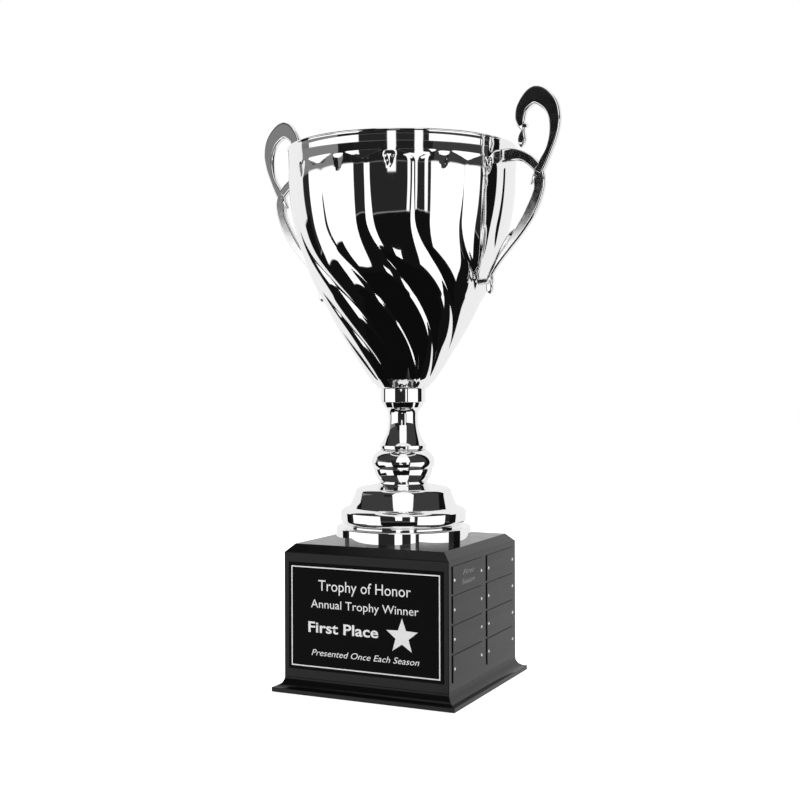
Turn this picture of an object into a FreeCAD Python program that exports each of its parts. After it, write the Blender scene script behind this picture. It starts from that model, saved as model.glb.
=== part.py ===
import FreeCAD, Part
import Sketcher
import math
import os

# A perpetual cup trophy: a chromed, spun bowl with two cast scroll handles on a turned stem
# and a stepped foot, all clamped by one tie rod to a square wooden plinth that carries a large
# front plate and two columns of small winner plates on each side.
# Millimetres. Origin at the middle of the underside, +Z up, front plate towards -Y. The cup
# stands turned a few degrees on its plinth, so its handles lie near the X axis, not on it.

DRIVING_SIZES = {
    # wooden plinth
    "body_side": 152.4,
    "panel_thickness": 12.0,
    "felt_side": 160.0,
    "felt_thickness": 1.0,
    "footboard_side": 168.9,
    "footboard_top": 13.35,
    "cove_radius": 8.6,
    "body_top": 119.2,
    "lid_side": 138.6,
    "lid_top": 126.0,
    # engraved plates and their nails
    "plate_thickness": 0.8,
    "front_plate_width": 143.4,
    "front_plate_height": 90.2,
    "front_plate_middle": 66.0,
    "winner_plate_width": 63.5,
    "winner_plate_height": 22.2,
    "winner_row_pitch": 23.95,
    "winner_lowest_row": 31.6,
    "winner_column_offset": 37.3,
    "nail_offset": 29.0,
    "nail_shank_radius": 0.6,
    "nail_shank_length": 7.0,
    "nail_head_radius": 1.25,
    "nail_head_height": 0.7,
    # stepped foot, a spun shell
    "sheet_wall": 1.2,
    "foot_radius": 59.3,
    "foot_band_top": 137.5,
    "foot_band_round": 1.2,
    "foot_groove_radius": 51.0,
    "step_bottom": 138.8,
    "step_radius": 55.2,
    "step_wall_bottom": 143.5,
    "step_wall_top": 150.5,
    "step_shoulder_radius": 49.0,
    "dome_bottom": 154.5,
    "dome_radius": 48.0,
    "dome_wall_top": 167.0,
    "dome_wall_top_radius": 42.6,
    "dome_shoulder": 171.6,
    "dome_shoulder_radius": 37.8,
    "foot_neck": 175.0,
    "foot_neck_radius": 22.0,
    "foot_top": 176.0,
    # turned stem
    "stem_hole_radius": 3.3,
    "knop_bottom_radius": 20.5,
    "knop_joint": 187.5,
    "knop_joint_radius": 26.0,
    "upper_knop_foot_radius": 25.4,
    "knop_equator": 193.6,
    "knop_equator_radius": 28.0,
    "knop_top": 204.6,
    "knop_top_radius": 19.6,
    "bell_lip_radius": 20.8,
    "bell_lip_bottom": 205.8,
    "bell_lip_top": 208.2,
    "bell_neck_radius": 13.0,
    "bell_neck_bottom": 228.5,
    "bell_neck_top": 236.5,
    "bell_cup_radius": 16.6,
    "bell_cup_bottom": 241.6,
    "bell_top_radius": 18.4,
    "collar_bottom": 246.0,
    "collar_radius": 19.6,
    "collar_edge": 0.8,
    "collar_top": 258.3,
    # bowl
    "bowl_wall": 1.4,
    "bowl_seat_radius": 21.0,
    "bowl_flare": 265.7,
    "bowl_flare_radius": 28.2,
    "bowl_waist": 336.0,
    "bowl_waist_radius": 70.2,
    "bowl_shoulder": 449.5,
    "bowl_shoulder_radius": 99.5,
    "rim_radius": 101.0,
    "rim_top": 468.1,
    "bead_radius": 1.5,
    # handles and their screws
    "cup_turn": -7.1,
    "handle_thickness": 5.5,
    "upper_screw_height": 453.3,
    "upper_screw_seat": 98.5,
    "upper_screw_length": 10.0,
    "lower_screw_height": 348.5,
    "lower_screw_seat": 74.0,
    "lower_screw_length": 9.5,
    "screw_radius": 1.25,
    "screw_head_radius": 2.4,
    "screw_head_height": 1.8,
    # tie rod with its nuts and washers
    "rod_radius": 3.0,
    "rod_bottom": 110.0,
    "rod_top": 269.0,
    "nut_across_flats": 10.0,
    "nut_height": 5.0,
    "washer_thickness": 1.6,
    "bowl_washer_radius": 9.0,
    "base_washer_radius": 12.0,
}

doc = FreeCAD.newDocument("CupTrophy")
sheet = doc.addObject("Spreadsheet::Sheet", "Sizes")
for row, (alias, value) in enumerate(DRIVING_SIZES.items(), start=1):
    sheet.set(f"A{row}", alias)
    sheet.set(f"B{row}", str(value))
    sheet.setAlias(f"B{row}", alias)
doc.recompute()


class Size:
    """A length that carries its value and the spreadsheet expression that gives it."""

    def __init__(self, value, text=None):
        self.value = float(value)
        self.text = text or repr(float(value))

    def joined(self, other, sign, value):
        return Size(value, f"({self.text} {sign} {other.text})")

    def __add__(self, other):
        other = as_size(other)
        return self.joined(other, "+", self.value + other.value)

    def __sub__(self, other):
        other = as_size(other)
        return self.joined(other, "-", self.value - other.value)

    def __mul__(self, other):
        other = as_size(other)
        return self.joined(other, "*", self.value * other.value)

    def __truediv__(self, other):
        other = as_size(other)
        return self.joined(other, "/", self.value / other.value)

    def __neg__(self):
        return Size(-self.value, f"(-{self.text})")


def as_size(number):
    return number if isinstance(number, Size) else Size(number)


def size(alias):
    """The sheet's own cell, as a Size."""
    return Size(sheet.get(alias), f"Sizes.{alias}")


def bind(thing, **properties):
    """Bind properties of a document object to sizes; Base_x and so on mean its placement."""
    for name, length in properties.items():
        path = f"Placement.Base.{name[-1]}" if name.startswith("Base_") else name
        thing.setExpression(path, as_size(length).text)


# ---------------------------------------------------------------- sketches and turned bodies

def plane_of(body, role):
    return next(item for item in body.Origin.OriginFeatures if item.Role == role)


def end_near(sketch, edge, point):
    """Which end of a sketch edge, 1 or 2, lies at the point."""
    first = sketch.getPoint(edge, 1)
    second = sketch.getPoint(edge, 2)
    return 1 if first.distanceToPoint(point) <= second.distanceToPoint(point) else 2


def pin(sketch, edge, end, corner):
    """Hold one end of an edge at its two sizes from the sketch's origin."""
    for kind, length in zip(("DistanceX", "DistanceY"), corner):
        if length.value < 0:
            rule = Sketcher.Constraint(kind, edge, end, -1, 1, -length.value)
            length = -length
        else:
            rule = Sketcher.Constraint(kind, -1, 1, edge, end, length.value)
        number = sketch.addConstraint(rule)
        sketch.setExpression(f"Constraints[{number}]", length.text)


def outline(body, name, role, corners):
    """A closed sketch through corners (across, up); a third entry is the radius of the arc
    that leads to the next corner, positive where it turns left."""
    sketch = body.newObject("Sketcher::SketchObject", name)
    sketch.AttachmentSupport = [(plane_of(body, role), "")]
    sketch.MapMode = "FlatFace"
    points = [FreeCAD.Vector(as_size(c[0]).value, as_size(c[1]).value, 0) for c in corners]
    for index, corner in enumerate(corners):
        start, end = points[index], points[(index + 1) % len(points)]
        if len(corner) == 3:
            radius = as_size(corner[2]).value
            half = (end - start) / 2
            side = FreeCAD.Vector(half.y, -half.x, 0).normalize()
            sagitta = abs(radius) - math.sqrt(radius ** 2 - half.Length ** 2)
            middle = start + half + side * math.copysign(sagitta, radius)
            edge = sketch.addGeometry(Part.Arc(start, middle, end), False)
            rule = sketch.addConstraint(Sketcher.Constraint("Radius", edge, abs(radius)))
            sketch.setExpression(f"Constraints[{rule}]", as_size(abs_size(corner[2])).text)
        else:
            edge = sketch.addGeometry(Part.LineSegment(start, end), False)
    for index, corner in enumerate(corners):
        before = (index - 1) % len(corners)
        here = end_near(sketch, index, points[index])
        there = end_near(sketch, before, points[index])
        sketch.addConstraint(Sketcher.Constraint("Coincident", before, there, index, here))
        pin(sketch, index, here, (as_size(corner[0]), as_size(corner[1])))
    return sketch


def abs_size(length):
    length = as_size(length)
    return -length if length.value < 0 else length


def turned(label, corners):
    """A body turned about the Z axis from an outline of (radius, height) corners."""
    body = doc.addObject("PartDesign::Body", label)
    body.Label = label
    sketch = outline(body, label + "_outline", "XZ_Plane", corners)
    turn = body.newObject("PartDesign::Revolution", label + "_turn")
    turn.Profile = (sketch, [""])
    turn.ReferenceAxis = (sketch, ["V_Axis"])
    turn.Angle = 360
    return body


def padded(label, role, corners, length):
    """A body padded from an outline on one of its own planes."""
    body = doc.addObject("PartDesign::Body", label)
    body.Label = label
    sketch = outline(body, label + "_outline", role, corners)
    pad = body.newObject("PartDesign::Pad", label + "_pad")
    pad.Profile = (sketch, [""])
    bind(pad, Length=length)
    return body


def square_board(label, side, bottom, top):
    """A square Part::Box centred on the Z axis."""
    board = doc.addObject("Part::Box", label)
    bind(board, Length=side, Width=side, Height=top - bottom,
         Base_x=-side / 2, Base_y=-side / 2, Base_z=bottom)
    return board


def upright_cylinder(label, radius, bottom, top):
    cylinder = doc.addObject("Part::Cylinder", label)
    bind(cylinder, Radius=radius, Height=top - bottom, Base_z=bottom)
    return cylinder


def cut(label, base, tool):
    result = doc.addObject("Part::Cut", label)
    result.Label = label
    result.Base = base
    result.Tool = tool
    return result


nodes = []

# ---------------------------------------------------------------- wooden plinth

half_body = size("body_side") / 2

felt_pad = square_board("base_felt_pad", size("felt_side"), Size(0), size("felt_thickness"))
nodes.append(felt_pad)


def foot_board():
    """A square board whose upper edge is coved on all four sides with one round cutter."""
    overrun = 0.6
    board = square_board("foot_board_blank", size("footboard_side"),
                         size("felt_thickness"), size("footboard_top"))
    reach = half_body + size("cove_radius")
    for turn in range(4):
        cutter = doc.addObject("Part::Cylinder", f"cove_cutter_{turn + 1}")
        bind(cutter, Radius=size("cove_radius"), Height=size("footboard_side") * 2 * overrun)
        quarter = FreeCAD.Rotation(FreeCAD.Vector(0, 0, 1), 90 * turn)
        along = FreeCAD.Rotation(FreeCAD.Vector(1, 0, 0), -90)
        cutter.Placement = FreeCAD.Placement(FreeCAD.Vector(), quarter * along)
        run = size("footboard_side") * -overrun
        corner = {0: (reach, run), 1: (-run, reach), 2: (-reach, -run), 3: (run, -reach)}[turn]
        bind(cutter, Base_x=corner[0], Base_y=corner[1], Base_z=size("footboard_top"))
        last = "base_foot_board" if turn == 3 else f"coved_{turn + 1}"
        board = cut(last, board, cutter)
    return board


nodes.append(foot_board())


def mitred_panel(label):
    """One wall of the plinth, drawn at the front; its ends are mitred at 45 degrees."""
    inner = half_body - size("panel_thickness")
    panel = padded(label, "XY_Plane",
                   [(-half_body, -half_body), (half_body, -half_body), (inner, -inner),
                    (-inner, -inner)],
                   size("body_top") - size("footboard_top"))
    bind(panel, Base_z=size("footboard_top"))
    return panel


SIDES = {"front": 0, "right": 90, "back": 180, "left": 270}


def turned_to(side, thing):
    """Turn a piece drawn at the front of the plinth round to its own side."""
    thing.Placement.Rotation = FreeCAD.Rotation(FreeCAD.Vector(0, 0, 1), SIDES[side])
    return thing


for side in ("front", "back"):
    nodes.append(turned_to(side, mitred_panel(f"base_{side}_panel")))

lid_blank = doc.addObject("Part::Wedge", "lid_blank")
lid_step = (size("body_side") - size("lid_side")) / 2
bind(lid_blank, Xmin=0, Zmin=0, Ymin=0, X2min=lid_step, Z2min=lid_step,
     Xmax=size("body_side"), Zmax=size("body_side"), Ymax=size("lid_top") - size("body_top"),
     X2max=size("body_side") - lid_step, Z2max=size("body_side") - lid_step)
lid_blank.Placement.Rotation = FreeCAD.Rotation(FreeCAD.Vector(1, 0, 0), 90)
bind(lid_blank, Base_x=-half_body, Base_y=half_body, Base_z=size("body_top"))
lid_hole = upright_cylinder("lid_rod_hole", size("stem_hole_radius"),
                            size("body_top") - 1, size("lid_top") + 1)
nodes.append(cut("base_top_board", lid_blank, lid_hole))

# ---------------------------------------------------------------- plates and nails

front_plate = doc.addObject("Part::Box", "front_plate")
bind(front_plate, Length=size("front_plate_width"), Width=size("plate_thickness"),
     Height=size("front_plate_height"),
     Base_x=-size("front_plate_width") / 2, Base_y=-half_body - size("plate_thickness"),
     Base_z=size("front_plate_middle") - size("front_plate_height") / 2)
nodes.append(front_plate)

ROWS = 4
COLUMNS = (-1, 1)
NAILS_PER_PLATE = (-1, 1)


def row_height(row):
    return size("winner_lowest_row") + size("winner_row_pitch") * row


def nail_places():
    """Where each nail of one side enters, drawn at the front: (across, height)."""
    for row in range(ROWS):
        for column in COLUMNS:
            for end in NAILS_PER_PLATE:
                across = size("winner_column_offset") * column + size("nail_offset") * end
                yield across.value, row_height(row).value


def nail_shape():
    """A small round-headed nail that points along +Y, its head's seat at the origin."""
    shank = Part.makeCylinder(size("nail_shank_radius").value, size("nail_shank_length").value,
                              FreeCAD.Vector(), FreeCAD.Vector(0, 1, 0))
    height = size("nail_head_height").value
    radius = size("nail_head_radius").value
    ball = (radius ** 2 + height ** 2) / (2 * height)
    head = Part.makeSphere(ball, FreeCAD.Vector(0, ball - height, 0))
    front = Part.makeBox(4 * ball, 4 * ball, 4 * ball, FreeCAD.Vector(-2 * ball, -4 * ball, -2 * ball))
    return head.common(front).fuse(shank)


def per_nail(label, shape):
    """One solid of the shape at each nail place of a side, as a group."""
    face = -(half_body + size("plate_thickness")).value
    group = doc.addObject("Part::Feature", label)
    copies = []
    for across, height in nail_places():
        copy = shape.copy()
        copy.translate(FreeCAD.Vector(across, face, height))
        copies.append(copy)
    group.Shape = Part.Compound(copies)
    return group


hole_shape = Part.makeCylinder(size("nail_shank_radius").value + 0.05,
                               size("nail_shank_length").value + 1,
                               FreeCAD.Vector(0, -0.5, 0), FreeCAD.Vector(0, 1, 0))

for side in ("right", "left"):
    holes = per_nail(f"{side}_nail_holes", hole_shape)
    panel_blank = mitred_panel(f"{side}_panel_blank")
    nodes.append(turned_to(side, cut(f"base_{side}_panel", panel_blank, holes)))
    plate_number = 0
    for row in reversed(range(ROWS)):
        for column in COLUMNS:
            plate_number += 1
            blank = doc.addObject("Part::Box", f"{side}_plate_blank_{plate_number}")
            bind(blank, Length=size("winner_plate_width"), Width=size("plate_thickness"),
                 Height=size("winner_plate_height"),
                 Base_x=size("winner_column_offset") * column - size("winner_plate_width") / 2,
                 Base_y=-half_body - size("plate_thickness"),
                 Base_z=row_height(row) - size("winner_plate_height") / 2)
            plate = cut(f"{side}_winner_plate_{plate_number}", blank, holes)
            nodes.append(turned_to(side, plate))
    nodes.append(turned_to(side, per_nail(f"{side}_plate_nails", nail_shape())))

# ---------------------------------------------------------------- stepped foot

hole = size("stem_hole_radius")
step_curve = 7.0
shoulder_curve = 8.4
edge_curve = 5.2
dome_curve = 60.0


def foot_skin(wall):
    """The foot's outline from the plinth up to its neck, moved inside itself by a wall: down
    where the metal faces up, and up under the step's overhang."""
    low = size("lid_top")
    return [
        (size("foot_radius") - wall, low),
        (size("foot_radius") - wall, size("foot_band_top") - size("foot_band_round") - wall,
         size("foot_band_round")),
        (size("foot_radius") - size("foot_band_round") - wall, size("foot_band_top") - wall),
        (size("foot_groove_radius") - wall, size("foot_band_top") - wall),
        (size("foot_groove_radius") - wall, size("step_bottom") + wall * 0.6, step_curve),
        (size("step_radius") - wall, size("step_wall_bottom")),
        (size("step_radius") - wall, size("step_wall_top") - wall, shoulder_curve),
        (size("step_shoulder_radius") - wall, size("dome_bottom") - wall),
        (size("dome_radius") - wall, size("dome_bottom") - wall, -dome_curve),
        (size("dome_wall_top_radius") - wall, size("dome_wall_top") - wall, edge_curve),
        (size("dome_shoulder_radius") - wall, size("dome_shoulder") - wall),
        (size("foot_neck_radius") - wall, size("foot_neck") - wall),
        (size("foot_neck_radius") - wall, size("foot_top") - wall),
    ]


def backwards(corners):
    """The same outline walked the other way, with its arcs turning the other way."""
    result = []
    for index in range(len(corners) - 1, -1, -1):
        arc = corners[index - 1][2:] if index else ()
        result.append(corners[index][:2] + tuple(-as_size(radius) for radius in arc))
    return result


outer_foot = foot_skin(Size(0))
inner_foot = foot_skin(size("sheet_wall"))
top_ring = [(hole, size("foot_top")), (hole, size("foot_top") - size("sheet_wall"))]
nodes.append(turned("cup_foot", outer_foot + top_ring + backwards(inner_foot)))

# ---------------------------------------------------------------- turned stem

lower_knop_curve = 18.0
upper_knop_low_curve = 9.0
upper_knop_top_curve = 12.5
lip_curve = 1.4
bell_curve = 38.0
neck_curve = 60.0
cup_curve = 7.0

nodes.append(turned("lower_knop", [
    (hole, size("foot_top")),
    (size("knop_bottom_radius"), size("foot_top"), lower_knop_curve),
    (size("knop_joint_radius"), size("knop_joint")),
    (hole, size("knop_joint")),
]))

nodes.append(turned("upper_knop", [
    (hole, size("knop_joint")),
    (size("upper_knop_foot_radius"), size("knop_joint"), upper_knop_low_curve),
    (size("knop_equator_radius"), size("knop_equator"), upper_knop_top_curve),
    (size("knop_top_radius"), size("knop_top")),
    (hole, size("knop_top")),
]))

nodes.append(turned("stem_bell", [
    (hole, size("knop_top")),
    (size("knop_top_radius"), size("knop_top"), lip_curve),
    (size("bell_lip_radius"), size("bell_lip_bottom")),
    (size("bell_lip_radius"), size("bell_lip_top"), -bell_curve),
    (size("bell_neck_radius"), size("bell_neck_bottom"), -neck_curve),
    (size("bell_neck_radius"), size("bell_neck_top"), -cup_curve),
    (size("bell_cup_radius"), size("bell_cup_bottom")),
    (size("bell_top_radius"), size("collar_bottom")),
    (hole, size("collar_bottom")),
]))

nodes.append(turned("collar_ring", [
    (hole, size("collar_bottom")),
    (size("collar_radius") - size("collar_edge"), size("collar_bottom"), size("collar_edge")),
    (size("collar_radius"), size("collar_bottom") + size("collar_edge")),
    (size("collar_radius"), size("collar_top") - size("collar_edge"), size("collar_edge")),
    (size("collar_radius") - size("collar_edge"), size("collar_top")),
    (hole, size("collar_top")),
]))

# ---------------------------------------------------------------- bowl

lower_sweep = 600.0
upper_sweep = 225.0
wall = size("bowl_wall")
bowl_body = turned("bowl_blank", [
    (hole, size("collar_top")),
    (size("bowl_seat_radius"), size("collar_top")),
    (size("bowl_flare_radius"), size("bowl_flare"), lower_sweep),
    (size("bowl_waist_radius"), size("bowl_waist"), upper_sweep),
    (size("bowl_shoulder_radius"), size("bowl_shoulder")),
    (size("rim_radius"), size("rim_top") - size("bead_radius"), size("bead_radius")),
    (size("rim_radius") - size("bead_radius"), size("rim_top")),
    (size("rim_radius") - size("bead_radius") - wall, size("rim_top"), size("bead_radius")),
    (size("rim_radius") - wall * 2, size("rim_top") - size("bead_radius"), size("bead_radius")),
    (size("rim_radius") - wall, size("rim_top") - size("bead_radius") * 2),
    (size("bowl_shoulder_radius") - wall, size("bowl_shoulder"), -upper_sweep),
    (size("bowl_waist_radius") - wall, size("bowl_waist"), -lower_sweep),
    (size("bowl_flare_radius") - wall, size("bowl_flare")),
    (size("bowl_seat_radius") - wall, size("collar_top") + wall),
    (hole, size("collar_top") + wall),
])

# ---------------------------------------------------------------- handles and their screws

def handle_angle(side):
    """How far a handle, drawn along +X, is turned about the Z axis."""
    return size("cup_turn").value + (180 if side == "left" else 0)


def screw_shapes(side, clearance=0.0, heads=True):
    """The two screws that hold one handle, driven outwards from inside the bowl."""
    shapes = []
    for place in ("upper", "lower"):
        shank = Part.makeCylinder(size("screw_radius").value + clearance,
                                  size(f"{place}_screw_length").value + clearance)
        if heads:
            height = size("screw_head_height").value
            head = Part.makeCylinder(size("screw_head_radius").value, height,
                                     FreeCAD.Vector(0, 0, -height))
            shank = shank.fuse(head.makeFillet(height * 0.4, [head.Edges[2]]))
        outwards = FreeCAD.Rotation(FreeCAD.Vector(0, 1, 0), 90)
        seat = FreeCAD.Vector(size(f"{place}_screw_seat").value, 0,
                              size(f"{place}_screw_height").value)
        shank.Placement = FreeCAD.Placement(seat, outwards)
        shank.rotate(FreeCAD.Vector(), FreeCAD.Vector(0, 0, 1), handle_angle(side))
        shapes.append(shank)
    return Part.Compound(shapes)


def screws(label, *choices):
    group = doc.addObject("Part::Feature", label)
    group.Shape = screw_shapes(*choices)
    return group


# Each handle is one flat casting, drawn as strokes that run into each other. A stroke is a row
# of stations along its middle: (reach from the axis, height, width across the stroke).
HANDLE_STROKES = {
    "bracket": [(96, 453, 11), (110, 453, 11), (119, 451, 8.5), (127, 446, 8.5), (133, 440, 8)],
    "arm": [(88, 354, 3.5), (96, 366, 5.5), (105, 377, 7), (116, 389.5, 8), (127, 405.5, 9.5),
            (133.5, 420, 9), (134.5, 431, 10), (134, 438, 8)],
    "scroll": [(133.5, 436, 8), (138, 444, 7.5), (143.5, 454, 6), (147.5, 466, 7.5),
               (148.5, 480, 10.5), (143.5, 492.5, 13.5), (131, 500.5, 15), (119.5, 492, 10.5),
               (117, 481, 8), (120, 472, 2.5)],
    "bead": [(119, 476.5, 4.5), (123.5, 476, 3)],
    "bud": [(119.5, 473, 2.5), (118.5, 464.5, 7), (117.5, 458.5, 1.5)],
    "spur": [(132, 434, 6), (126.5, 427, 1.5)],
    "leaf": [(112, 391.5, 1), (107, 384, 6), (98, 371, 5), (91, 358, 3)],
    "collar": [(88, 345, 4), (88, 349.5, 5.5), (88.5, 355, 3.5)],
    "drop": [(87.5, 347, 4.5), (87.5, 342, 5.5), (87.5, 338, 1.5)],
    "lug": [(72, 348.5, 5), (89, 348.5, 5)],
}


def stroke_sides(stations):
    """The two edges of a stroke, each station stepped half its width square to the way it runs."""
    near, far = [], []
    for index, (reach, height, width) in enumerate(stations):
        before = stations[max(index - 1, 0)]
        after = stations[min(index + 1, len(stations) - 1)]
        along = FreeCAD.Vector(after[0] - before[0], after[1] - before[1], 0).normalize()
        step = FreeCAD.Vector(-along.y, along.x, 0) * (width / 2)
        middle = FreeCAD.Vector(reach, height, 0)
        near.append(middle + step)
        far.insert(0, middle - step)
    return near, far


def smooth_edge(points):
    if len(points) == 2:
        return Part.LineSegment(*points)
    curve = Part.BSplineCurve()
    curve.interpolate(points)
    return curve


def stroke_body(label, stations):
    """One stroke padded to the casting's thickness, half to each side of its middle plane."""
    body = doc.addObject("PartDesign::Body", label)
    sketch = body.newObject("Sketcher::SketchObject", label + "_outline")
    sketch.AttachmentSupport = [(plane_of(body, "XZ_Plane"), "")]
    sketch.MapMode = "FlatFace"
    near, far = stroke_sides(stations)
    for points in (near, [near[-1], far[0]], far, [far[-1], near[0]]):
        sketch.addGeometry(smooth_edge(points), False)
    pad = body.newObject("PartDesign::Pad", label + "_pad")
    pad.Profile = (sketch, [""])
    pad.Midplane = True
    bind(pad, Length=size("handle_thickness"))
    return body


def handle(side):
    """One cast handle, seated on the bowl's outside and drilled for its two screws."""
    strokes = []
    for name, stations in HANDLE_STROKES.items():
        body = stroke_body(f"handle_{side}_{name}", stations)
        body.Placement.Rotation = FreeCAD.Rotation(FreeCAD.Vector(0, 0, 1), handle_angle(side))
        strokes.append(body)
    casting = doc.addObject("Part::MultiFuse", f"handle_{side}_casting")
    casting.Shapes = strokes
    casting.Refine = True
    outside = turned(f"bowl_outside_{side}", [
        (hole, size("collar_top")),
        (size("bowl_seat_radius"), size("collar_top")),
        (size("bowl_flare_radius"), size("bowl_flare"), lower_sweep),
        (size("bowl_waist_radius"), size("bowl_waist"), upper_sweep),
        (size("bowl_shoulder_radius"), size("bowl_shoulder")),
        (size("rim_radius"), size("rim_top") - size("bead_radius")),
        (hole, size("rim_top") - size("bead_radius")),
    ])
    seated = cut(f"handle_{side}_seated", casting, outside)
    holes = screws(f"handle_{side}_screw_holes", side, 0.05, False)
    nodes.append(cut(f"handle_{side}", seated, holes))
    nodes.append(screws(f"handle_{side}_screws", side))
    return holes


right_holes = handle("right")
left_holes = handle("left")
bowl_half_drilled = cut("bowl_drilled_right", bowl_body, right_holes)
nodes.append(cut("bowl", bowl_half_drilled, left_holes))

# ---------------------------------------------------------------- tie rod, nuts and washers

nodes.append(upright_cylinder("tie_rod", size("rod_radius"), size("rod_bottom"),
                              size("rod_top")))


def washer(label, radius, bottom):
    top = bottom + size("washer_thickness")
    disc = upright_cylinder(label + "_disc", radius, bottom, top)
    bore = upright_cylinder(label + "_bore", hole, bottom - 1, top + 1)
    nodes.append(cut(label, disc, bore))


def nut(label, bottom):
    """A hexagon nut; its bore is the rod's own size, so the two meet face to face."""
    top = bottom + size("nut_height")
    hexagon = doc.addObject("Part::Prism", label + "_hexagon")
    hexagon.Polygon = 6
    corner = size("nut_across_flats") / math.sqrt(3)
    bind(hexagon, Circumradius=corner, Height=size("nut_height"), Base_z=bottom)
    bore = upright_cylinder(label + "_bore", size("rod_radius"), bottom - 1, top + 1)
    nodes.append(cut(label, hexagon, bore))


bowl_floor = size("collar_top") + wall
washer("bowl_washer", size("bowl_washer_radius"), bowl_floor)
nut("bowl_nut", bowl_floor + size("washer_thickness"))
washer_bottom = size("body_top") - size("washer_thickness")
washer("base_washer", size("base_washer_radius"), washer_bottom)
nut("base_nut", washer_bottom - size("nut_height"))

# ---------------------------------------------------------------- checks and export

doc.recompute()
for item in doc.Objects:
    if "Invalid" in item.State or "Error" in item.State:
        raise RuntimeError(f"{item.Label}: {item.State}")

os.makedirs("parts", exist_ok=True)
for node in nodes:
    shape = node.Shape
    if shape.isNull() or not shape.isValid() or not shape.Solids:
        raise RuntimeError(f"{node.Label} has no valid solid")
    shape.exportStep(f"parts/{node.Label}.step")
    box = shape.BoundBox
    print(f"{node.Label}: {len(shape.Solids)} solid(s), {box.XLength:.1f} x {box.YLength:.1f}"
          f" x {box.ZLength:.1f} mm, volume {shape.Volume / 1000:.2f} cm3")
print(len(nodes), "nodes")
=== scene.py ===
import bpy
import bmesh
import math
from mathutils import Matrix, Vector


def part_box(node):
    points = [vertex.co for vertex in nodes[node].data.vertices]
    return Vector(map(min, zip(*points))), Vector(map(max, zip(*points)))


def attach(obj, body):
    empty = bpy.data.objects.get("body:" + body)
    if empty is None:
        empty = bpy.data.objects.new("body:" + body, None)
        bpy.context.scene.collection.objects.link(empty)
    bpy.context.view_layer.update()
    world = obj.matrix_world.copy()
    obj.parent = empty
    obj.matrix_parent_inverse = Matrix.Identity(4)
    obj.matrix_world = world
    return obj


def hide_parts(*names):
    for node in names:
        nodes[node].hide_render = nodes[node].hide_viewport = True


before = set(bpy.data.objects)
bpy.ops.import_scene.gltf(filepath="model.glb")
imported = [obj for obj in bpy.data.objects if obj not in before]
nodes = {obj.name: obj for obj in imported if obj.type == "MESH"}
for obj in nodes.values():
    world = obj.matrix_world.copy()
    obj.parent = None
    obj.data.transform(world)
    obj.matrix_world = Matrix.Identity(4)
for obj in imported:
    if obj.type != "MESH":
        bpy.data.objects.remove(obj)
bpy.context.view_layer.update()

# ---------------------------------------------------------------- studio: camera
# The camera stands a little over a metre away, level, at about half the cup's height, and
# looks past the plinth's front right corner. Its shift frames the whole trophy.
CAMERA_TURN = math.radians(25.48)
CAMERA_DISTANCE = 1.1003
CAMERA_HEIGHT = 0.26155
CAMERA_ROLL = math.radians(-0.19)

camera_data = bpy.data.cameras.new("camera")
camera_data.lens = 56.11
camera_data.sensor_width = 36.0
camera_data.shift_x = -0.0038
camera_data.shift_y = -0.0192
camera = bpy.data.objects.new("camera", camera_data)
bpy.context.scene.collection.objects.link(camera)
camera.matrix_world = (
    Matrix.Translation((CAMERA_DISTANCE * math.sin(CAMERA_TURN),
                        -CAMERA_DISTANCE * math.cos(CAMERA_TURN), CAMERA_HEIGHT))
    @ Matrix.Rotation(CAMERA_TURN, 4, "Z")
    @ Matrix.Rotation(math.radians(90), 4, "X")
    @ Matrix.Rotation(CAMERA_ROLL, 4, "Z")
)
bpy.context.scene.camera = camera
bpy.context.scene.view_settings.view_transform = "Standard"

# ---------------------------------------------------------------- studio: light tent
# A white tent with a tall softbox on each side, two lit slits beside the lens, dark cloth
# round the lens and two black flags that draw the edges of the polished metal. A soft light
# stands to the right and a small white card low in front of the foot.
world = bpy.data.worlds.new("light_tent")
bpy.context.scene.world = world
world.use_nodes = True
tent = world.node_tree
tent.nodes.clear()


def tent_math(operation, first, second=0.0):
    """One sum in the tent's shader, on sockets or plain values."""
    node = tent.nodes.new("ShaderNodeMath")
    node.operation = operation
    for socket, value in zip(node.inputs, (first, second)):
        if isinstance(value, bpy.types.NodeSocket):
            tent.links.new(value, socket)
        else:
            socket.default_value = value
    return node.outputs[0]


def within(angle, low, high, blur=0.6):
    """1 where the angle lies between low and high degrees, 0 outside, with soft edges."""
    rise = tent.nodes.new("ShaderNodeMapRange")
    fall = tent.nodes.new("ShaderNodeMapRange")
    for node, edge in ((rise, low), (fall, high)):
        node.interpolation_type = "SMOOTHSTEP"
        tent.links.new(angle, node.inputs["Value"])
        node.inputs["From Min"].default_value = edge - blur
        node.inputs["From Max"].default_value = edge + blur
    return tent_math("SUBTRACT", rise.outputs["Result"], fall.outputs["Result"])


direction = tent.nodes.new("ShaderNodeTexCoord")
turned_round = tent.nodes.new("ShaderNodeMapping")
turned_round.inputs["Rotation"].default_value = (0, 0, math.radians(90) - CAMERA_TURN)
tent.links.new(direction.outputs["Generated"], turned_round.inputs["Vector"])
axes = tent.nodes.new("ShaderNodeSeparateXYZ")
tent.links.new(turned_round.outputs["Vector"], axes.inputs["Vector"])
around = tent_math("DEGREES", tent_math("ARCTAN2", axes.outputs["Y"], axes.outputs["X"]))
above = tent_math("DEGREES", tent_math("ARCSINE", axes.outputs["Z"]))

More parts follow.
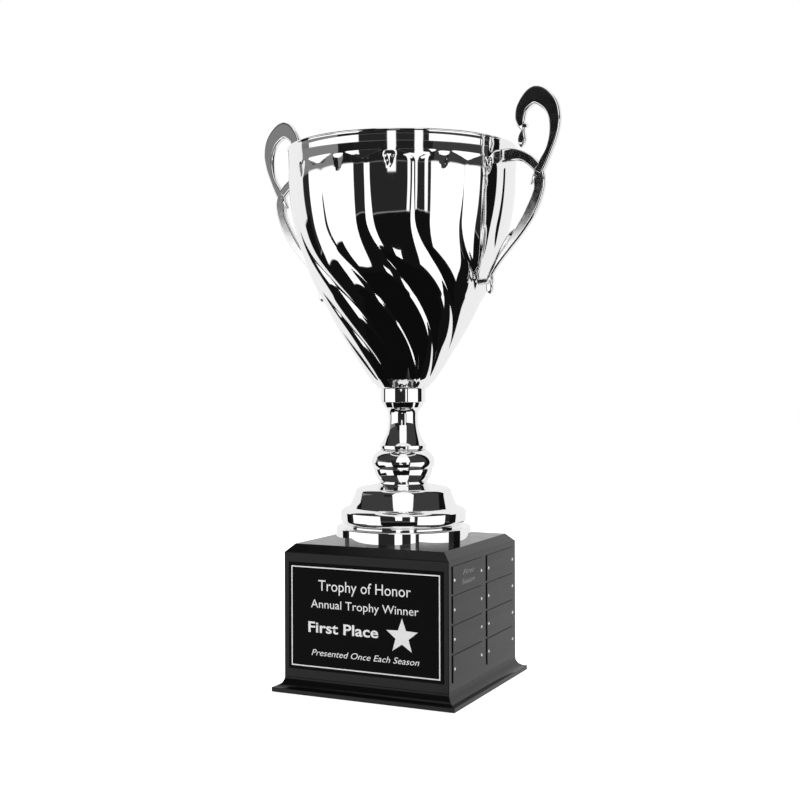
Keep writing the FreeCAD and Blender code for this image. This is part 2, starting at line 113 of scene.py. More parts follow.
# Each patch: from and to degrees round (0 is the lens, positive to its right), from and to
# degrees up, brightness. A later patch lies over an earlier one.
TENT_PATCHES = [
    ((-181, 181), (-91, 91), 0.9),
    ((-118, 97), (7, 62), 0.045),
    ((-118, -66), (7, 14), 0.22),
    ((-66, -48), (7, 14), 0.011),
    ((-48, 30), (7, 26), 0.014),
    ((-118, 97), (-16, 7), 0.02),
    ((-118, 97), (-58, -16), 0.006),
    ((-126, -112), (-62, -4), 0.006),
    ((-126, -112), (20, 62), 0.006),
    ((94, 112), (-62, 62), 0.006),
    ((-105, -43), (-22, 7), 1.2),
    ((-76, -43), (-38, -18), 1.2),
    ((26, 82), (-38, 7), 1.2),
    ((-14.4, -6.1), (2, 26), 1.1),
    ((12, 20), (-16, 26), 1.1),
    ((-27, 25), (14, 62), 1.1),
    ((-181, 181), (-91, -58), 0.88),
    ((-140, 80), (-80, -42), 0.004),
]
brightness = 0.0
for (left, right), (bottom, top), level in TENT_PATCHES:
    patch = tent_math("MULTIPLY", within(around, left, right), within(above, bottom, top))
    kept = tent_math("MULTIPLY", brightness, tent_math("SUBTRACT", 1.0, patch))
    brightness = tent_math("ADD", kept, tent_math("MULTIPLY", patch, level))

tent_light = tent.nodes.new("ShaderNodeBackground")
tent_light.inputs["Color"].default_value = (1, 1, 1, 1)
tent.links.new(brightness, tent_light.inputs["Strength"])
backdrop = tent.nodes.new("ShaderNodeBackground")
backdrop.inputs["Color"].default_value = (1, 1, 1, 1)
backdrop.inputs["Strength"].default_value = 1.0
seen = tent.nodes.new("ShaderNodeLightPath")
either = tent.nodes.new("ShaderNodeMixShader")
tent.links.new(seen.outputs["Is Camera Ray"], either.inputs["Fac"])
tent.links.new(tent_light.outputs[0], either.inputs[1])
tent.links.new(backdrop.outputs[0], either.inputs[2])
tent_out = tent.nodes.new("ShaderNodeOutputWorld")
tent.links.new(either.outputs[0], tent_out.inputs["Surface"])

SIDE_LIGHT_PLACE = (1.3, 0.1, 0.5)
SIDE_LIGHT_AIM = Vector((0, 0, 0.08))
side_light_data = bpy.data.lights.new("side_light", "AREA")
side_light_data.size = 0.6
side_light_data.energy = 8.0
side_light = bpy.data.objects.new("side_light", side_light_data)
bpy.context.scene.collection.objects.link(side_light)
side_light.location = SIDE_LIGHT_PLACE
side_light.rotation_euler = (SIDE_LIGHT_AIM - side_light.location).to_track_quat(
    "-Z", "Y").to_euler()
side_light.visible_glossy = False

LOW_CARD_TURN = math.radians(-8)
LOW_CARD_DISTANCE = 0.45
LOW_CARD_HEIGHT = 0.088
low_card_data = bpy.data.lights.new("low_card", "AREA")
low_card_data.shape = "RECTANGLE"
low_card_data.size = 0.09
low_card_data.size_y = 0.07
low_card_data.energy = 0.025
low_card = bpy.data.objects.new("low_card", low_card_data)
bpy.context.scene.collection.objects.link(low_card)
low_card.matrix_world = (
    Matrix.Rotation(CAMERA_TURN + LOW_CARD_TURN, 4, "Z")
    @ Matrix.Translation((0, -LOW_CARD_DISTANCE, LOW_CARD_HEIGHT))
    @ Matrix.Rotation(math.radians(90), 4, "X")
)
low_card.visible_camera = False

# ---------------------------------------------------------------- studio: floor
# A pale sweep of card that the trophy stands on. It is not part of the object.
floor_mesh = bpy.data.meshes.new("floor")
FLOOR_REACH = 6.0
FLOOR_DROP = 0.0002
floor_mesh.from_pydata([(-FLOOR_REACH, -FLOOR_REACH, 0), (FLOOR_REACH, -FLOOR_REACH, 0),
                        (FLOOR_REACH, FLOOR_REACH, 0), (-FLOOR_REACH, FLOOR_REACH, 0)],
                       [], [(0, 1, 2, 3)])
floor = bpy.data.objects.new("floor", floor_mesh)
bpy.context.scene.collection.objects.link(floor)
floor.location.z = -FLOOR_DROP
floor_card = bpy.data.materials.new("pale_card")
floor_card.use_nodes = True
card = floor_card.node_tree.nodes["Principled BSDF"]
card.inputs["Base Color"].default_value = (0.9, 0.9, 0.9, 1)
card.inputs["Roughness"].default_value = 0.9
card.inputs["Emission Color"].default_value = (1, 1, 1, 1)
card.inputs["Emission Strength"].default_value = 0.95
floor_mesh.materials.append(floor_card)
floor.visible_glossy = False

# ---------------------------------------------------------------- felt pad
# A square of black felt glued under the plinth, with a short matted nap. It keeps the
# lacquered foot board off the shelf.


def new_finish(name, colour, roughness, metallic=0.0):
    """A named material with its Principled shader, its node tree and its two basic values."""
    material = bpy.data.materials.new(name)
    material.use_nodes = True
    shader = material.node_tree.nodes["Principled BSDF"]
    shader.inputs["Base Color"].default_value = (*colour, 1)
    shader.inputs["Roughness"].default_value = roughness
    shader.inputs["Metallic"].default_value = metallic
    return material, material.node_tree, shader


def object_noise(tree, scale, detail=3.0, stretch=(1, 1, 1)):
    """Noise fixed to the object itself, stretched along its axes."""
    place = tree.nodes.new("ShaderNodeTexCoord")
    mapping = tree.nodes.new("ShaderNodeMapping")
    mapping.inputs["Scale"].default_value = stretch
    noise = tree.nodes.new("ShaderNodeTexNoise")
    noise.inputs["Scale"].default_value = scale
    noise.inputs["Detail"].default_value = detail
    tree.links.new(place.outputs["Object"], mapping.inputs["Vector"])
    tree.links.new(mapping.outputs["Vector"], noise.inputs["Vector"])
    return noise.outputs["Fac"]


def vary(tree, factor, socket, low, high):
    """Let a shader value wander between low and high with a noise."""
    spread = tree.nodes.new("ShaderNodeMapRange")
    tree.links.new(factor, spread.inputs["Value"])
    spread.inputs["From Min"].default_value = 0.3
    spread.inputs["From Max"].default_value = 0.7
    spread.inputs["To Min"].default_value = low
    spread.inputs["To Max"].default_value = high
    tree.links.new(spread.outputs["Result"], socket)


def roughen(tree, shader, factor, depth, rounding=0.0):
    """Bump from a noise, over edges rounded by a small radius."""
    bump = tree.nodes.new("ShaderNodeBump")
    bump.inputs["Strength"].default_value = 1.0
    bump.inputs["Distance"].default_value = depth
    tree.links.new(factor, bump.inputs["Height"])
    if rounding:
        edge = tree.nodes.new("ShaderNodeBevel")
        edge.samples = 6
        edge.inputs["Radius"].default_value = rounding
        tree.links.new(edge.outputs["Normal"], bump.inputs["Normal"])
    tree.links.new(bump.outputs["Normal"], shader.inputs["Normal"])


def dress(node, material):
    """Give a CAD node its finish."""
    piece = nodes[node]
    piece.data.materials.clear()
    piece.data.materials.append(material)


felt, felt_tree, felt_shader = new_finish("black_felt", (0.012, 0.012, 0.012), 0.95)
felt_shader.inputs["Sheen Weight"].default_value = 0.25
felt_nap = object_noise(felt_tree, 900, 6)
vary(felt_tree, felt_nap, felt_shader.inputs["Roughness"], 0.88, 1.0)
roughen(felt_tree, felt_shader, felt_nap, 0.0003)
dress("base_felt_pad", felt)

# ---------------------------------------------------------------- wooden plinth
# Coved foot board, four mitred panels and a bevelled top board, glued up, sanded and sprayed
# with black satin lacquer. The grain still telegraphs faintly and the arrises are eased.
lacquer, lacquer_tree, lacquer_shader = new_finish("black_lacquer", (0.005, 0.005, 0.0055), 0.16)
lacquer_shader.inputs["Specular IOR Level"].default_value = 0.22
lacquer_grain = object_noise(lacquer_tree, 120, 5, (1, 1, 0.12))
vary(lacquer_tree, lacquer_grain, lacquer_shader.inputs["Roughness"], 0.13, 0.2)
roughen(lacquer_tree, lacquer_shader, lacquer_grain, 0.000012, 0.0007)
for board in ("foot_board", "front_panel", "right_panel", "back_panel", "left_panel",
              "top_board"):
    dress(f"base_{board}", lacquer)

# ---------------------------------------------------------------- front plate
# A sheet of black-coated aluminium, glued on. A diamond tool cuts the border, the wording and
# the star through the coating to the bright metal below.
coated, coated_tree, coated_shader = new_finish("black_coated_plate", (0.0015, 0.0015, 0.0015),
                                                0.22)
coated_shader.inputs["Specular IOR Level"].default_value = 0.05
coated_drag = object_noise(coated_tree, 400, 4, (0.05, 1, 1))
vary(coated_tree, coated_drag, coated_shader.inputs["Roughness"], 0.23, 0.26)
roughen(coated_tree, coated_shader, coated_drag, 0.000002, 0.0002)
dress("front_plate", coated)

bright_cut, cut_tree, cut_shader = new_finish("bright_cut_metal", (0.85, 0.85, 0.85), 0.5, 0.4)
cut_marks = object_noise(cut_tree, 2500, 2, (1, 1, 0.2))
vary(cut_tree, cut_marks, cut_shader.inputs["Roughness"], 0.4, 0.6)
roughen(cut_tree, cut_shader, cut_marks, 0.00001)

MM = 0.001
CUT_PROUD = 0.04 * MM
plate_low, plate_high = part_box("front_plate")
plate_face = plate_low.y - CUT_PROUD
plate_middle = (plate_low + plate_high) / 2


def new_piece(name, mesh, material):
    """A visible piece of the one rigid body, made from a finished mesh."""
    piece = bpy.data.objects.new(name, mesh)
    bpy.context.scene.collection.objects.link(piece)
    mesh.materials.clear()
    mesh.materials.append(material)
    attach(piece, "root")
    return piece


def flat_cut(name, outlines, place):
    """Flat faces cut on a plate, given as corner lists (across, up), put where place says."""
    corners, faces = [], []
    for outline in outlines:
        start = len(corners)
        corners += [place @ Vector((across, 0, up)) for across, up in outline]
        faces.append(list(range(start, len(corners))))
    mesh = bpy.data.meshes.new(name)
    mesh.from_pydata(corners, [], faces)
    return new_piece(name, mesh, bright_cut)


def bar(x0, x1, z0, z1):
    """The corners of an upright rectangle."""
    return [(x0, z0), (x1, z0), (x1, z1), (x0, z1)]


border_x = 69.0 * MM
border_z = 42.3 * MM
line = 1.0 * MM
front_place = Matrix.Translation((0, plate_face, plate_middle.z))
flat_cut("front_border", [
    bar(-border_x, border_x, border_z - line, border_z),
    bar(-border_x, border_x, -border_z, line - border_z),
    bar(-border_x, line - border_x, line - border_z, border_z - line),
    bar(border_x - line, border_x, line - border_z, border_z - line),
], front_place)


def cut_words(name, words, height, middle, place, width=None, slant=0.0, weight=0.0,
              material=bright_cut):
    """Engraved wording, centred on a point of the plate and pressed to a set width."""
    text = bpy.data.curves.new(name, "FONT")
    text.body = words
    text.size = height
    text.shear = slant
    text.offset = weight
    text.align_x = "CENTER"
    text.align_y = "CENTER"
    text.resolution_u = 3
    drawn = bpy.data.objects.new(name + "_drawn", text)
    bpy.context.scene.collection.objects.link(drawn)
    graph = bpy.context.evaluated_depsgraph_get()
    mesh = bpy.data.meshes.new_from_object(drawn.evaluated_get(graph))
    bpy.data.objects.remove(drawn)
    mesh.name = name
    spread = max(v.co.x for v in mesh.vertices) - min(v.co.x for v in mesh.vertices)
    squeeze = width / spread if width else 1.0
    stand_up = Matrix(((squeeze, 0, 0, middle[0]), (0, 0, 0, 0), (0, 1, 0, middle[1]),
                       (0, 0, 0, 1)))
    mesh.transform(place @ stand_up)
    return new_piece(name, mesh, material)


cut_words("front_title", "Trophy of Honor", 13 * MM, (0, 26.5 * MM), front_place, 86 * MM)
cut_words("front_award", "Annual Trophy Winner", 10 * MM, (0, 11 * MM), front_place, 100 * MM)
cut_words("front_place", "First Place", 12.5 * MM, (-20 * MM, -9 * MM), front_place, 66 * MM,
          weight=0.25 * MM)
cut_words("front_motto", "Presented Once Each Season", 7.5 * MM, (0, -30 * MM), front_place,
          100 * MM, slant=0.3)


def star(points, outer, inner, middle):
    """The corners of a plain star with one point straight up."""
    corners = []
    for step in range(points * 2):
        reach = inner if step % 2 else outer
        turn = math.pi * step / points
        corners.append((middle[0] + reach * math.sin(turn), middle[1] + reach * math.cos(turn)))
    return corners


star_middle = (35 * MM, -10 * MM)
flat_cut("front_star", [star(5, 15 * MM, 6.2 * MM, star_middle)], front_place)

# ---------------------------------------------------------------- winner plates
# Two columns of four small black plates on each side. Only the first has been engraved.
# Each is held by two round-headed nails.
small_coated, small_tree, small_shader = new_finish("small_plate_coating",
                                                    (0.006, 0.006, 0.0065), 0.24)
small_shader.inputs["Specular IOR Level"].default_value = 0.22
small_drag = object_noise(small_tree, 250, 3, (1, 0.06, 1))
vary(small_tree, small_drag, small_shader.inputs["Roughness"], 0.2, 0.29)
roughen(small_tree, small_shader, small_drag, 0.000004, 0.0002)
for side in ("right", "left"):
    for number in range(1, 9):
        dress(f"{side}_winner_plate_{number}", small_coated)

dull_cut, dull_tree, dull_shader = new_finish("dull_cut_metal", (0.2, 0.2, 0.2), 0.55, 0.3)
dull_marks = object_noise(dull_tree, 2500, 2)
vary(dull_tree, dull_marks, dull_shader.inputs["Roughness"], 0.45, 0.65)
roughen(dull_tree, dull_shader, dull_marks, 0.00001)

for side, turn in (("right", 90), ("left", -90)):
    low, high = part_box(f"{side}_winner_plate_1")
    middle = (low + high) / 2
    face = max(abs(low.x), abs(high.x)) + CUT_PROUD
    quarter = Matrix.Rotation(math.radians(turn), 4, "Z")
    across = (quarter.inverted() @ middle).x
    place = quarter @ Matrix.Translation((across, -face, middle.z))
    cut_words(f"{side}_winner_name", "First", 6 * MM, (0, 3.5 * MM), place, 24 * MM,
              slant=0.3, material=dull_cut)
    cut_words(f"{side}_winner_year", "Season", 6 * MM, (0, -4 * MM), place, 28 * MM,
              slant=0.3, material=dull_cut)

# ---------------------------------------------------------------- plate nails
# Small bright escutcheon nails with domed heads, two to a plate, driven in through the
# plates. The same rows are used on both sides.
nail_metal, nail_tree, nail_shader = new_finish("bright_nail", (0.95, 0.95, 0.95), 0.45, 0.6)
nail_wear = object_noise(nail_tree, 1800, 2)
vary(nail_tree, nail_wear, nail_shader.inputs["Roughness"], 0.4, 0.5)

nail_rows = bpy.data.node_groups.new("nail_rows", "GeometryNodeTree")
for name, value in (("Column pitch", 0.0746), ("Nail pitch", 0.058), ("Row pitch", 0.02395),
                    ("Head radius", 0.00125), ("Head height", 0.0007)):
    socket = nail_rows.interface.new_socket(name, in_out="INPUT", socket_type="NodeSocketFloat")
    socket.default_value = value
nail_rows.interface.new_socket("Metal", in_out="INPUT", socket_type="NodeSocketMaterial")
nail_rows.interface.new_socket("Nails", in_out="OUTPUT", socket_type="NodeSocketGeometry")
nail_inputs = nail_rows.nodes.new("NodeGroupInput")
nail_output = nail_rows.nodes.new("NodeGroupOutput")


def nail_line(pitch, count, axis):
    """A line of points with the named pitch along one axis, centred on the origin."""
    offset = nail_rows.nodes.new("ShaderNodeCombineXYZ")
    nail_rows.links.new(nail_inputs.outputs[pitch], offset.inputs[axis])
    start = nail_rows.nodes.new("ShaderNodeVectorMath")
    start.operation = "SCALE"
    start.inputs["Scale"].default_value = -(count - 1) / 2
    nail_rows.links.new(offset.outputs[0], start.inputs[0])
    row = nail_rows.nodes.new("GeometryNodeMeshLine")
    row.inputs["Count"].default_value = count
    nail_rows.links.new(start.outputs[0], row.inputs["Start Location"])
    nail_rows.links.new(offset.outputs[0], row.inputs["Offset"])
    return row.outputs["Mesh"]


def on_points(points, instance):
    """A copy of the instance on each point, as real geometry."""
    copier = nail_rows.nodes.new("GeometryNodeInstanceOnPoints")
    nail_rows.links.new(points, copier.inputs["Points"])
    nail_rows.links.new(instance, copier.inputs["Instance"])
    whole = nail_rows.nodes.new("GeometryNodeRealizeInstances")
    nail_rows.links.new(copier.outputs["Instances"], whole.inputs["Geometry"])
    return whole.outputs["Geometry"]


head = nail_rows.nodes.new("GeometryNodeMeshUVSphere")
head.inputs["Segments"].default_value = 20
head.inputs["Rings"].default_value = 12
head.inputs["Radius"].default_value = 1.0
head_size = nail_rows.nodes.new("ShaderNodeCombineXYZ")
for axis, name in (("X", "Head radius"), ("Y", "Head height"), ("Z", "Head radius")):
    nail_rows.links.new(nail_inputs.outputs[name], head_size.inputs[axis])
head_shape = nail_rows.nodes.new("GeometryNodeTransform")
nail_rows.links.new(head.outputs["Mesh"], head_shape.inputs["Geometry"])
nail_rows.links.new(head_size.outputs[0], head_shape.inputs["Scale"])
smooth_head = nail_rows.nodes.new("GeometryNodeSetShadeSmooth")
nail_rows.links.new(head_shape.outputs["Geometry"], smooth_head.inputs["Geometry"])
nail_set = on_points(nail_line("Nail pitch", 2, "X"), smooth_head.outputs["Geometry"])
nail_set = on_points(nail_line("Column pitch", 2, "X"), nail_set)
nail_set = on_points(nail_line("Row pitch", 4, "Z"), nail_set)
nail_finish = nail_rows.nodes.new("GeometryNodeSetMaterial")
nail_rows.links.new(nail_set, nail_finish.inputs["Geometry"])
nail_rows.links.new(nail_inputs.outputs["Metal"], nail_finish.inputs["Material"])
nail_rows.links.new(nail_finish.outputs["Geometry"], nail_output.inputs["Nails"])

for side, turn in (("right", 90), ("left", -90)):
    low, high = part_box(f"{side}_plate_nails")
    plate_low_x, plate_high_x = (corner.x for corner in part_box(f"{side}_winner_plate_1"))
    face = max(abs(plate_low_x), abs(plate_high_x))
    holder = bpy.data.objects.new("nail_holder", bpy.data.meshes.new("nail_holder"))
    bpy.context.scene.collection.objects.link(holder)
    modifier = holder.modifiers.new("nails", "NODES")
    modifier.node_group = nail_rows
    metal_input = nail_rows.interface.items_tree["Metal"].identifier
    modifier[metal_input] = nail_metal
    graph = bpy.context.evaluated_depsgraph_get()
    nails = bpy.data.meshes.new_from_object(holder.evaluated_get(graph))
    bpy.data.objects.remove(holder)
    nails.transform(Matrix.Rotation(math.radians(turn), 4, "Z")
                    @ Matrix.Translation((0, -face, (low.z + high.z) / 2)))
    piece = new_piece(f"{side}_nail_heads", nails, nail_metal)
    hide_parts(f"{side}_plate_nails")

# ---------------------------------------------------------------- stepped foot
# A hollow foot spun from thin sheet over a former, in two rings and a dome, then polished
# and plated. Fine spinning lines run round it under the plate.
plated, plated_tree, plated_shader = new_finish("bright_plate", (0.93, 0.93, 0.93), 0.03, 1.0)
plated_haze = object_noise(plated_tree, 45, 3)
vary(plated_tree, plated_haze, plated_shader.inputs["Roughness"], 0.02, 0.045)
plated_ripple = object_noise(plated_tree, 60, 2, (0.3, 0.3, 3))
roughen(plated_tree, plated_shader, plated_ripple, 0.000006)


def rounded(outline, steps=14):
    """An outline of (radius, height[, arc radius]) with its arcs turned into short steps."""
    points = []
    for index, corner in enumerate(outline):
        here = Vector(corner[:2])
        points.append(here)
        if len(corner) == 3 and index + 1 < len(outline):
            there = Vector(outline[index + 1][:2])
            half = (there - here) / 2
            square = Vector((-half.y, half.x)).normalized()
            reach = math.sqrt(corner[2] ** 2 - half.length ** 2)
            middle = here + half + square * math.copysign(reach, corner[2])
            first = here - middle
            last = there - middle
            sweep = first.angle_signed(last)
            for step in range(1, steps):
                turn = Matrix.Rotation(-sweep * step / steps, 2)
                points.append(middle + turn @ first)
    return points


def lathe(name, outline, segments=256, sharp=24):
    """Turn an outline in millimetres about the Z axis into a smooth closed shell."""
    points = rounded(outline)
    mesh = bpy.data.meshes.new(name)
    shape = bmesh.new()
    rings = []
    for radius, height in points:
        rings.append([shape.verts.new((radius * MM * math.cos(2 * math.pi * s / segments),
                                       radius * MM * math.sin(2 * math.pi * s / segments),
                                       height * MM)) for s in range(segments)])
    for index, ring in enumerate(rings):
        after = rings[(index + 1) % len(rings)]
        for s in range(segments):
            beside = (s + 1) % segments
            shape.faces.new((ring[s], ring[beside], after[beside], after[s]))
    bmesh.ops.remove_doubles(shape, verts=shape.verts, dist=1e-7)
    bmesh.ops.recalc_face_normals(shape, faces=shape.faces)
    for face in shape.faces:
        face.smooth = True
    for edge in shape.edges:
        if len(edge.link_faces) == 2 and edge.calc_face_angle(0) > math.radians(sharp):
            edge.smooth = False
    shape.to_mesh(mesh)
    shape.free()
    return mesh


STEM_BORE = 3.3
foot = new_piece("spun_foot", lathe("spun_foot", [
    (59.3, 126.0), (59.3, 136.3, 1.2), (58.1, 137.5), (51.0, 137.5), (51.0, 138.8, 7.0),
    (55.2, 143.5), (55.2, 150.5, 8.4), (49.0, 154.5), (48.0, 154.5, -60.0), (42.6, 167.0, 5.2),
    (37.8, 171.6), (22.0, 175.0), (22.0, 176.0), (STEM_BORE, 176.0), (STEM_BORE, 174.8),
    (20.8, 174.8), (20.8, 173.8), (36.6, 170.4), (41.4, 165.8), (46.4, 153.3), (47.8, 153.3),
    (54.0, 149.3), (54.0, 143.5), (49.8, 139.5), (49.8, 136.3), (56.9, 136.3), (58.1, 135.1),
    (58.1, 126.0),
]), plated)
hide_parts("cup_foot")

# ---------------------------------------------------------------- turned stem
# Two knops, a bell and a collar, turned from bar, polished and plated. They are threaded on
# the tie rod one above the other.
STEM_PIECES = {
    "lower_knop": [(STEM_BORE, 176.0), (20.5, 176.0, 18.0), (26.0, 187.5), (STEM_BORE, 187.5)],
    "upper_knop": [(STEM_BORE, 187.5), (25.4, 187.5, 9.0), (28.0, 193.6, 12.5), (19.6, 204.6),
                   (STEM_BORE, 204.6)],
    "stem_bell": [(STEM_BORE, 204.6), (19.6, 204.6, 1.4), (20.8, 205.8), (20.8, 208.2, -38.0),
                  (13.0, 228.5, -60.0), (13.0, 236.5, -7.0), (16.6, 241.6), (18.4, 246.0),
                  (STEM_BORE, 246.0)],
    "collar_ring": [(STEM_BORE, 246.0), (18.8, 246.0, 0.8), (19.6, 246.8), (19.6, 257.5, 0.8),
                    (18.8, 258.3), (STEM_BORE, 258.3)],
}
for name, outline in STEM_PIECES.items():
    piece = new_piece(f"turned_{name}", lathe(f"turned_{name}", outline), plated)
    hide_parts(name)

# ---------------------------------------------------------------- fluted bowl
# Spun from one sheet, then pressed into petals that hang straight from round arches below a
# plain band, and swirl to the right as they run down into the collar. The rim is rolled.
PETALS = 14
PETAL_START = math.radians(-70.52)
PETAL_HALF_WIDTH = 11.8
PETALS_MEET = 340.0
GROOVE_DEPTH = 0.9
SWIRL_EXTRA_DEPTH = 0.9
ARCH_TOP = 450.0
ARCH_HEIGHT = 8.0
TONGUE_TOP = 448.0
TONGUE_TIP = 437.0
TONGUE_DEPTH = 0.5
TONGUE_HALF_WIDTH = 1.6
BOWL_WALL = 1.4
BOWL_SEGMENTS = 448
OUTER_ROWS = 134
INNER_ROWS = 56
FLOOR_TOP = 262.0
BOWL_OUTLINE = [(21.0, 258.3), (28.2, 265.7, 600.0), (70.2, 336.0, 225.0), (100.0, 449.5)]
RIM_RADIUS = 100.95
RIM_TOP = 468.1
BEAD_RADIUS = 1.0


def blend_between(value, low, high):
    """0 at low, 1 at high and a smooth step between; low may be the larger one."""
    share = min(max((value - low) / (high - low), 0.0), 1.0)
    return share * share * (3 - 2 * share)


def swirl(height):
    """Degrees a petal has turned at a height: none at the top, then faster further down."""
    gentle, steep, rate = 398.0, 363.0, 0.62
    if height >= gentle:
        return 0.0
    if height >= steep:
        return rate * (gentle - height) ** 2 / (2 * (gentle - steep))
    return rate * ((gentle - steep) / 2 + steep - height)


def petal_relief(angle, height):
    """How far the sheet lies inside its full radius, in millimetres."""
    period = 360.0 / PETALS
    turned_by = math.degrees(angle - PETAL_START) - swirl(height)
    across = (turned_by + period / 2) % period - period / 2
    widening = blend_between(height, 420.0, PETALS_MEET)
    half = PETAL_HALF_WIDTH + (period / 2 - PETAL_HALF_WIDTH) * widening
    arch = min(max((ARCH_TOP - height) / ARCH_HEIGHT, 0.0), 1.0)
    half *= math.sqrt(arch * (2 - arch))
    depth = GROOVE_DEPTH + SWIRL_EXTRA_DEPTH * blend_between(height, 430.0, 350.0)
    depth *= blend_between(height, 258.0, 290.0) * min(arch * 2, 1.0)
    if half <= 0.01 or abs(across) >= half:
        return depth
    tongue = min(max((height - TONGUE_TIP) / (TONGUE_TOP - TONGUE_TIP), 0.0), 1.0)
    pressed = 0.0
    if tongue and height < TONGUE_TOP:
        edge = TONGUE_HALF_WIDTH * tongue
        pressed = TONGUE_DEPTH * (1 - blend_between(abs(across), edge, edge + tongue + 0.2))
    roundness = 3.4 + 1.6 * blend_between(height, 360.0, 430.0)
    return depth * abs(across / half) ** roundness + pressed


def bowl_heights(count):
    """Rows up the bowl's wall as (radius, height), evenly spaced along the outline."""
    points = rounded(BOWL_OUTLINE, 60)
    lengths = [0.0]
    for before, after in zip(points, points[1:]):
        lengths.append(lengths[-1] + (after - before).length)
    rows, at = [], 0
    for row in range(count):
        wanted = lengths[-1] * row / (count - 1)
        while at < len(points) - 2 and lengths[at + 1] < wanted:
            at += 1
        share = (wanted - lengths[at]) / (lengths[at + 1] - lengths[at])
        rows.append(points[at].lerp(points[at + 1], share))
    return rows


outer_rows = [(p.x, p.y, True) for p in bowl_heights(OUTER_ROWS)]
band = [(100.0, 450.5), (99.98, 452.5), (99.95, 455.0), (99.96, 457.0), (100.05, 459.0),
        (100.3, 462.5), (100.45, 465.2), (100.4, 466.1)]
bead = [(RIM_RADIUS - BEAD_RADIUS + BEAD_RADIUS * math.cos(a),
         RIM_TOP - BEAD_RADIUS + BEAD_RADIUS * math.sin(a))
        for a in (math.radians(20 * k - 40) for k in range(12))]
inner_rows = [(p.x - BOWL_WALL, p.y + (BOWL_WALL if p.y < FLOOR_TOP else 0.3), True)
              for p in reversed(bowl_heights(INNER_ROWS))]
inner_band = [(r - BOWL_WALL, z) for r, z in reversed(band)]
profile = ([(STEM_BORE, 258.3, False)] + outer_rows + [(r, z, False) for r, z in band + bead]
           + [(r, z, False) for r, z in inner_band] + inner_rows + [(STEM_BORE, 259.7, False)])

bowl_mesh = bpy.data.meshes.new("fluted_bowl")
bowl_shape = bmesh.new()
bowl_rings = []
for radius, height, fluted in profile:
    ring = []
    for s in range(BOWL_SEGMENTS):
        angle = 2 * math.pi * s / BOWL_SEGMENTS
        reach = (radius - (petal_relief(angle, height) if fluted else 0.0)) * MM
        ring.append(bowl_shape.verts.new((reach * math.cos(angle), reach * math.sin(angle),
                                          height * MM)))
    bowl_rings.append(ring)
for index, ring in enumerate(bowl_rings):
    after = bowl_rings[(index + 1) % len(bowl_rings)]
    for s in range(BOWL_SEGMENTS):
        beside = (s + 1) % BOWL_SEGMENTS
        bowl_shape.faces.new((ring[s], ring[beside], after[beside], after[s])).smooth = True
bmesh.ops.recalc_face_normals(bowl_shape, faces=bowl_shape.faces)
bowl_shape.to_mesh(bowl_mesh)
bowl_shape.free()
bowl = new_piece("fluted_bowl", bowl_mesh, plated)
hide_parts("bowl")

# ---------------------------------------------------------------- cast handles
# Zinc castings from a two-part die: a long arm, a scroll with a bud at its tip, a bracket to
# the band and a leaf. Their faces are nearly flat, their edges rounded, and the plate is softer.
cast, cast_tree, cast_shader = new_finish("plated_casting", (0.9, 0.9, 0.9), 0.07, 1.0)
cast_skin = object_noise(cast_tree, 160, 4)
vary(cast_tree, cast_skin, cast_shader.inputs["Roughness"], 0.05, 0.1)
roughen(cast_tree, cast_shader, cast_skin, 0.000012)

CUP_TURN = math.radians(-7.1)
HANDLE_THICKNESS = 5.5
HANDLE_STROKES = {
    "bracket": [(100.5, 453, 11), (110, 453, 11), (119, 451, 8.5), (127, 446, 8.5),
                (133, 440, 8)],
    "arm": [(88, 354, 3.5), (96, 366, 5.5), (105, 377, 7), (116, 389.5, 8), (127, 405.5, 9.5),
            (133.5, 420, 9), (134.5, 431, 10), (134, 438, 8)],
    "scroll": [(133.5, 436, 8), (138, 444, 7.5), (143.5, 454, 6), (147.5, 466, 7.5),
               (148.5, 480, 10.5), (143.5, 492.5, 13.5), (131, 500.5, 15), (119.5, 492, 10.5),
               (117, 481, 8), (120, 472, 2.5)],
    "bead": [(119, 476.5, 4.5), (123.5, 476, 3)],
    "bud": [(119.5, 473, 2.5), (118.5, 464.5, 7), (117.5, 458.5, 1.5)],
    "spur": [(132, 434, 6), (126.5, 427, 1.5)],
    "leaf": [(112, 391.5, 1), (107, 384, 6), (98, 371, 5), (91, 358, 3)],
    "collar": [(88, 345, 4), (88, 349.5, 5.5), (88.5, 355, 3.5)],
    "drop": [(87.5, 347, 4.5), (87.5, 342, 5.5), (87.5, 338, 1.5)],
    "lug": [(77.5, 348.5, 5), (89, 348.5, 5)],
}
HANDLE_EDGE = 1.3
STROKE_STEPS = 7
EDGE_STEPS = 4


def smooth_stations(stations):
    """Stations joined by a smooth curve through each, with more of them in between."""
    rows = [Vector(station) for station in stations]
    smooth = []
    for index in range(len(rows) - 1):
        before = rows[max(index - 1, 0)]
        start, end = rows[index], rows[index + 1]
        after = rows[min(index + 2, len(rows) - 1)]
        for step in range(STROKE_STEPS):
            t = step / STROKE_STEPS
            smooth.append(0.5 * (2 * start + (end - before) * t
                                 + (2 * before - 5 * start + 4 * end - after) * t ** 2
                                 + (3 * start - before - 3 * end + after) * t ** 3))
    smooth.append(rows[-1])
    return smooth


def bar_section(width, thick):
    """Half the round of a flat bar as (across, through) points; its edges are rounded."""
    edge = min(HANDLE_EDGE, width * 0.45, thick * 0.45)
    corner = []
    for step in range(EDGE_STEPS + 1):
        a = math.pi / 2 * step / EDGE_STEPS
        corner.append((width / 2 - edge + edge * math.cos(a), thick / 2 - edge + edge * math.sin(a)))
    corner.append(((width / 2 - edge) * 0.9, thick / 2))
    return corner + [(-across, through) for across, through in reversed(corner)]


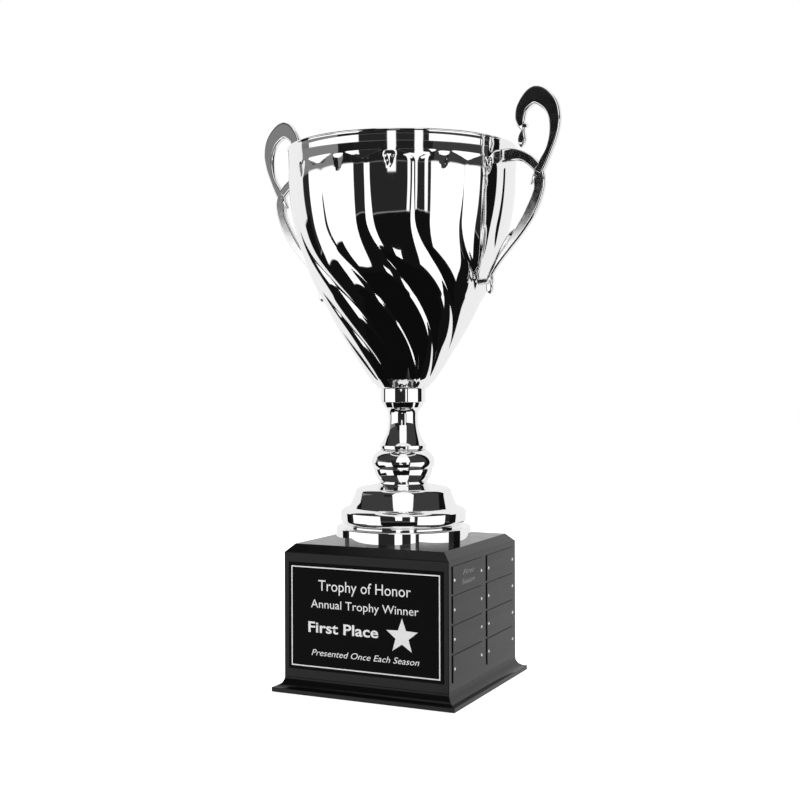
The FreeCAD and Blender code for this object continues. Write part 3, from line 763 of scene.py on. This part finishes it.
def cast_stroke(shape, stations, turn):
    """Add one stroke to the casting: two flat faces with rounded edges between them."""
    rows = smooth_stations(stations)
    rings = []
    for index, (reach, height, width) in enumerate(rows):
        before = rows[max(index - 1, 0)]
        after = rows[min(index + 1, len(rows) - 1)]
        along = Vector((after.x - before.x, 0, after.y - before.y)).normalized()
        across = Vector((-along.z, 0, along.x))
        half = bar_section(width, min(HANDLE_THICKNESS, width * 1.25))
        section = half + [(-wide, -deep) for wide, deep in half]
        ring = []
        for wide, deep in section:
            point = Vector((reach, 0, height)) + across * wide + Vector((0, deep, 0))
            ring.append(shape.verts.new(turn @ (point * MM)))
        rings.append(ring)
    for ring, following in zip(rings, rings[1:]):
        for s in range(len(ring)):
            beside = (s + 1) % len(ring)
            shape.faces.new((ring[s], ring[beside], following[beside], following[s]))
    shape.faces.new(rings[0])
    shape.faces.new(rings[-1])


for side, half_turn in (("right", 0.0), ("left", math.pi)):
    turn = Matrix.Rotation(CUP_TURN + half_turn, 3, "Z")
    casting = bmesh.new()
    for stations in HANDLE_STROKES.values():
        cast_stroke(casting, stations, turn)
    bmesh.ops.recalc_face_normals(casting, faces=casting.faces)
    for face in casting.faces:
        face.smooth = len(face.verts) == 4
    handle_mesh = bpy.data.meshes.new(f"cast_handle_{side}")
    casting.to_mesh(handle_mesh)
    casting.free()
    piece = new_piece(f"cast_handle_{side}", handle_mesh, cast)
    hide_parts(f"handle_{side}")

# ---------------------------------------------------------------- screws and tie rod
# Zinc-plated steel, dull and slightly blotched: the screws that hold the handles from inside
# the bowl, and the rod, washers and nuts that clamp the cup to the plinth.
zinc, zinc_tree, zinc_shader = new_finish("zinc_plated_steel", (0.5, 0.5, 0.51), 0.35, 1.0)
zinc_blotch = object_noise(zinc_tree, 500, 4)
vary(zinc_tree, zinc_blotch, zinc_shader.inputs["Roughness"], 0.25, 0.45)
roughen(zinc_tree, zinc_shader, zinc_blotch, 0.00001, 0.0002)
for fixing in ("handle_right_screws", "handle_left_screws", "tie_rod", "bowl_washer",
               "bowl_nut", "base_washer", "base_nut"):
    dress(fixing, zinc)
